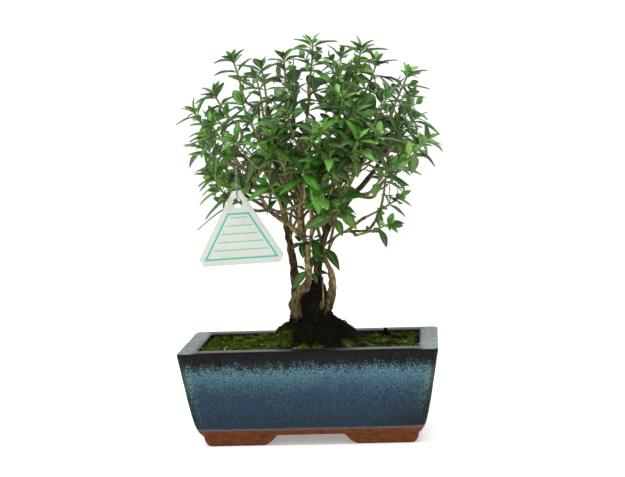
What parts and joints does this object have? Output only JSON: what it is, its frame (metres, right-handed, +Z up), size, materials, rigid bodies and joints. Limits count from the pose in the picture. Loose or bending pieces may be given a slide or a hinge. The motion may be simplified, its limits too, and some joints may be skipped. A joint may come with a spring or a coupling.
{
  "type": "serissa bonsai in a glazed rectangular pot",
  "caption": "Potted miniature tree: a clump of slender stems with a rounded leafy crown, in a rectangular glazed pot on corner feet, with a blank triangular hang tag.",
  "frame": {"origin": "middle of the pot's footprint, on the surface that its feet stand on", "axes": "+Z up; -Y towards the front, where the hang tag hangs; +X along the pot's length, to the right seen from the front"},
  "size_m": [0.2142, 0.2002, 0.3182],
  "materials": {
    "glazed_stoneware": "gloss blue glaze, mottled turquoise under a dark rim",
    "soil": "dark moist soil",
    "moss": "low green moss",
    "drain_mesh": "black plastic mesh",
    "bark": "pale flaking bark",
    "leaf": "semi-gloss evergreen leaf",
    "tag": "pale plastic with a teal border and ruled lines",
    "wire": "thin twisted wire"
  },
  "bodies": {
    "root": {"pot": "glazed_stoneware", "soil": "soil", "moss": "moss", "drain_mesh_left": "drain_mesh", "drain_mesh_right": "drain_mesh", "wood": "bark", "tag": "tag", "tag_wire": "wire", "leafy_shoot_01": "leaf", "leafy_shoot_02": "leaf", "leafy_shoot_03": "leaf", "leafy_shoot_04": "leaf", "leafy_shoot_05": "leaf", "leafy_shoot_06": "leaf", "leafy_shoot_07": "leaf", "leafy_shoot_08": "leaf", "leafy_shoot_09": "leaf", "leafy_shoot_10": "leaf", "leafy_shoot_11": "leaf", "leafy_shoot_12": "leaf", "leafy_shoot_13": "leaf", "leafy_shoot_14": "leaf", "leafy_shoot_15": "leaf", "leafy_shoot_16": "leaf", "leafy_shoot_17": "leaf", "leafy_shoot_18": "leaf", "leafy_shoot_19": "leaf", "leafy_shoot_20": "leaf", "leafy_shoot_21": "leaf", "leafy_shoot_22": "leaf", "leafy_shoot_23": "leaf", "leafy_shoot_24": "leaf", "leafy_shoot_25": "leaf", "leafy_shoot_26": "leaf", "leafy_shoot_27": "leaf", "leafy_shoot_28": "leaf", "leafy_shoot_29": "leaf", "leafy_shoot_30": "leaf", "leafy_shoot_31": "leaf", "leafy_shoot_32": "leaf", "leafy_shoot_33": "leaf", "leafy_shoot_34": "leaf", "leafy_shoot_35": "leaf", "leafy_shoot_36": "leaf", "leafy_shoot_37": "leaf", "leafy_shoot_38": "leaf", "leafy_shoot_39": "leaf", "leafy_shoot_40": "leaf", "leafy_shoot_41": "leaf", "leafy_shoot_42": "leaf", "leafy_shoot_43": "leaf", "leafy_shoot_44": "leaf", "leafy_shoot_45": "leaf", "leafy_shoot_46": "leaf", "leafy_shoot_47": "leaf", "leafy_shoot_48": "leaf", "leafy_shoot_49": "leaf", "leafy_shoot_50": "leaf"}
  },
  "joints": []
}
